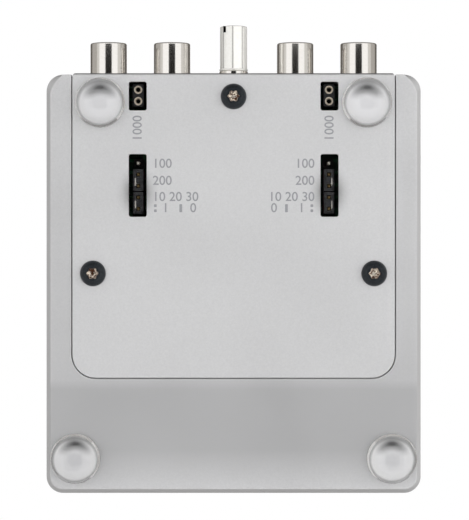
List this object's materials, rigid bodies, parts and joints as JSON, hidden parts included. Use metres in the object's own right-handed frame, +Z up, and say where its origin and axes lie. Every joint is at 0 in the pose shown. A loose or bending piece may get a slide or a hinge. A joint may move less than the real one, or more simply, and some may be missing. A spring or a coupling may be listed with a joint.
{
  "type": "phono preamp",
  "caption": "Compact phono preamplifier: low metal housing on clear feet, inset base tray with selector windows, RCA connectors and a fluted ground screw at the rear.",
  "frame": {"origin": "middle of the overall width and length, at the height where the four feet rest", "axes": "+Z up, +Y towards the rear connectors, +X to the right seen from the front"},
  "size_m": [0.083, 0.104, 0.026],
  "materials": {
    "housing_metal": "bead-blasted silver anodised",
    "tray_metal": "matt silver anodised sheet",
    "black_steel": "black oxide",
    "clear_gel": "clear polyurethane",
    "board": "solder-masked glass epoxy",
    "steel": "zinc plated",
    "black_plastic": "moulded",
    "nickel": "bright nickel plated",
    "white_insert": "moulded white",
    "red_insert": "moulded red",
    "contact_metal": "tin over brass",
    "film_red": "moulded case",
    "can_black": "sleeved can",
    "resistor_blue": "lacquer",
    "light_clear": "clear acrylic"
  },
  "bodies": {
    "chassis": {"amplifier_chips": "black_plastic", "base_tray": "tray_metal", "board_screws": "steel", "board_standoffs": "steel", "chip_legs": "steel", "circuit_board": "board", "dc_jack_body": "black_plastic", "dc_jack_pin": "contact_metal", "dc_jack_spring": "contact_metal", "electrolytic_capacitors": "can_black", "film_capacitors": "film_red", "foot_front_left": "clear_gel", "foot_front_right": "clear_gel", "foot_rear_left": "clear_gel", "foot_rear_right": "clear_gel", "header_base_left": "black_plastic", "header_base_right": "black_plastic", "header_pins_left": "contact_metal", "header_pins_right": "contact_metal", "housing": "housing_metal", "jack_body_left_inner": "black_plastic", "jack_body_left_outer": "black_plastic", "jack_body_right_inner": "black_plastic", "jack_body_right_outer": "black_plastic", "jack_contact_left_inner": "contact_metal", "jack_contact_left_outer": "contact_metal", "jack_contact_right_inner": "contact_metal", "jack_contact_right_outer": "contact_metal", "jack_insulator_left_inner": "white_insert", "jack_insulator_left_outer": "white_insert", "jack_insulator_right_inner": "red_insert", "jack_insulator_right_outer": "red_insert", "jack_shell_left_inner": "nickel", "jack_shell_left_outer": "nickel", "jack_shell_right_inner": "nickel", "jack_shell_right_outer": "nickel", "light_guide": "light_clear", "load_contacts_left": "contact_metal", "load_contacts_right": "contact_metal", "load_socket_left": "black_plastic", "load_socket_right": "black_plastic", "power_led": "light_clear", "regulators": "black_plastic", "resistor_leads": "steel", "resistors": "resistor_blue", "tray_screws": "black_steel"},
    "gain_jumper_left": {"gain_jumper_cap_left": "black_plastic", "gain_jumper_clip_left": "contact_metal"},
    "subsonic_jumper_left": {"subsonic_jumper_cap_left": "black_plastic", "subsonic_jumper_clip_left": "contact_metal"},
    "gain_jumper_right": {"gain_jumper_cap_right": "black_plastic", "gain_jumper_clip_right": "contact_metal"},
    "subsonic_jumper_right": {"subsonic_jumper_cap_right": "black_plastic", "subsonic_jumper_clip_right": "contact_metal"},
    "ground_washer": {"ground_washer": "nickel"},
    "ground_screw": {"ground_screw": "nickel"}
  },
  "joints": [
    {"name": "gain_jumper_left_pull", "type": "slide", "parent": "chassis", "child": "gain_jumper_left", "axis": [0, 0, -1], "range_m": [0, 0.0065]},
    {"name": "subsonic_jumper_left_pull", "type": "slide", "parent": "chassis", "child": "subsonic_jumper_left", "axis": [0, 0, -1], "range_m": [0, 0.0065]},
    {"name": "gain_jumper_right_pull", "type": "slide", "parent": "chassis", "child": "gain_jumper_right", "axis": [0, 0, -1], "range_m": [0, 0.0065]},
    {"name": "subsonic_jumper_right_pull", "type": "slide", "parent": "chassis", "child": "subsonic_jumper_right", "axis": [0, 0, -1], "range_m": [0, 0.0065]},
    {"name": "ground_travel", "type": "slide", "parent": "chassis", "child": "ground_washer", "axis": [0, 1, 0], "range_m": [0, 0.002]},
    {"name": "ground_turn", "type": "hinge", "parent": "ground_washer", "child": "ground_screw", "pos_m": [0, 0.0458, 0.0114], "axis": [0, 1, 0], "range_deg": [0, 1440]}
  ],
  "couplings": [
    {"joint": "ground_turn", "follows": "ground_travel", "rad_per_m": 12566}
  ]
}
